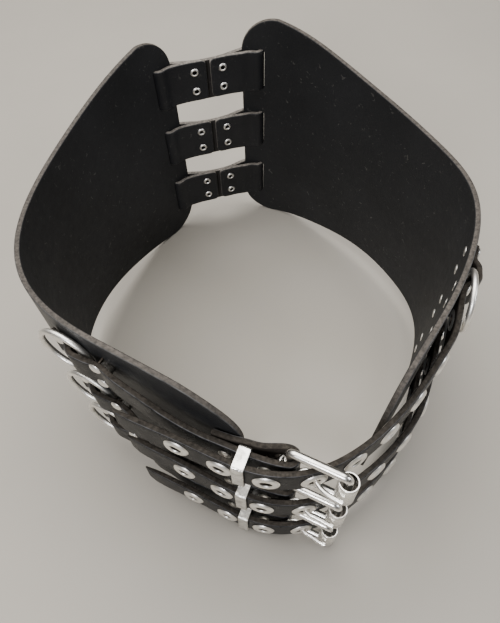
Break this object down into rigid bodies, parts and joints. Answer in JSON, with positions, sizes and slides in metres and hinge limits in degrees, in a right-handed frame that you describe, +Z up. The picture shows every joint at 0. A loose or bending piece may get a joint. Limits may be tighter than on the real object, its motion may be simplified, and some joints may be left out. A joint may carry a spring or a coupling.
{
  "type": "kidney belt",
  "caption": "Black leather kidney belt: two tall curved panels joined by tabs at the back and by buckled straps with rings in front.",
  "frame": {"origin": "bottom centre of the belt's bounding box, on the surface it stands on", "axes": "+Z up the height of the belt, -Y towards the buckles in front, +Y towards the laced back"},
  "size_m": [0.241, 0.2952, 0.1657],
  "materials": {
    "panel_leather": "matte black, lightly grained",
    "strap_leather": "smooth black, satin",
    "bright_hardware": "bright nickel plate",
    "keeper_metal": "satin plate"
  },
  "bodies": {
    "root": {"billet_bottom": "strap_leather", "billet_middle": "strap_leather", "billet_top": "strap_leather", "buckle_frame_bottom": "bright_hardware", "buckle_frame_middle": "bright_hardware", "buckle_frame_top": "bright_hardware", "buckle_strap_bottom": "strap_leather", "buckle_strap_middle": "strap_leather", "buckle_strap_top": "strap_leather", "keeper_bottom": "keeper_metal", "keeper_middle": "keeper_metal", "keeper_top": "keeper_metal", "panel_left": "panel_leather", "panel_right": "panel_leather", "prong_bottom": "bright_hardware", "prong_middle": "bright_hardware", "prong_top": "bright_hardware", "ring_left_bottom": "bright_hardware", "ring_left_middle": "bright_hardware", "ring_left_top": "bright_hardware", "ring_right_bottom": "bright_hardware", "ring_right_middle": "bright_hardware", "ring_right_top": "bright_hardware", "roller_bottom": "bright_hardware", "roller_middle": "bright_hardware", "roller_top": "bright_hardware", "tab_bottom": "strap_leather", "tab_middle": "strap_leather", "tab_top": "strap_leather"}
  },
  "joints": []
}
